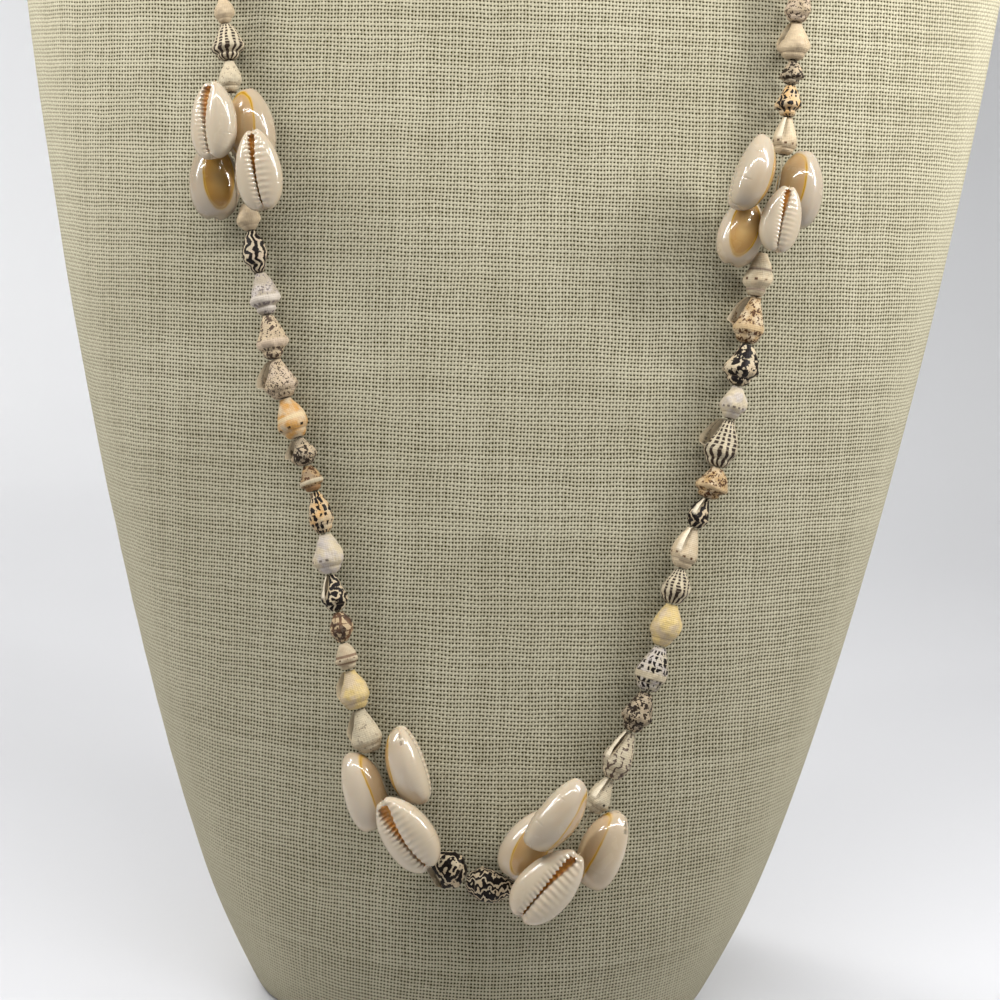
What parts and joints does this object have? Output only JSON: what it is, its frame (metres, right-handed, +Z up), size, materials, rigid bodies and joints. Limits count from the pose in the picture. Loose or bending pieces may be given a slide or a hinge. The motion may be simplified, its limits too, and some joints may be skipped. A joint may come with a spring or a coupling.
{
  "type": "cowrie shell necklace on a neck bust",
  "caption": "Long necklace of cowries in clusters and small spired sea shells on one closed thread, hung on a plain linen-covered neck bust that stands by itself.",
  "frame": {"origin": "middle of the bust's flat base", "axes": "+Z up, +X to the right of someone who faces the necklace, the chest faces -Y"},
  "size_m": [0.26, 0.1521, 0.4],
  "materials": {
    "linen": "plain open linen weave, matt",
    "thread": "waxed cotton thread",
    "cowrie": "polished porcelain-like shell with a golden ring",
    "small_shell": "chalky to satin shell with speckles and bands",
    "dark_shell": "satin shell with dark and cream zigzags"
  },
  "bodies": {
    "root": {"neck_bust": "linen", "thread": "thread", "thread_knot": "thread", "shells_top_left": "small_shell", "shells_left": "small_shell", "shells_front": "dark_shell", "shells_right": "small_shell", "shells_top_right": "small_shell", "shells_nape_left": "small_shell", "shells_nape_right": "small_shell", "cowrie_upper_left_1": "cowrie", "cowrie_upper_left_2": "cowrie", "cowrie_upper_left_3": "cowrie", "cowrie_upper_left_4": "cowrie", "cowrie_lower_left_1": "cowrie", "cowrie_lower_left_2": "cowrie", "cowrie_lower_left_3": "cowrie", "cowrie_lower_right_1": "cowrie", "cowrie_lower_right_2": "cowrie", "cowrie_lower_right_3": "cowrie", "cowrie_lower_right_4": "cowrie", "cowrie_upper_right_1": "cowrie", "cowrie_upper_right_2": "cowrie", "cowrie_upper_right_3": "cowrie", "cowrie_upper_right_4": "cowrie"}
  },
  "joints": []
}
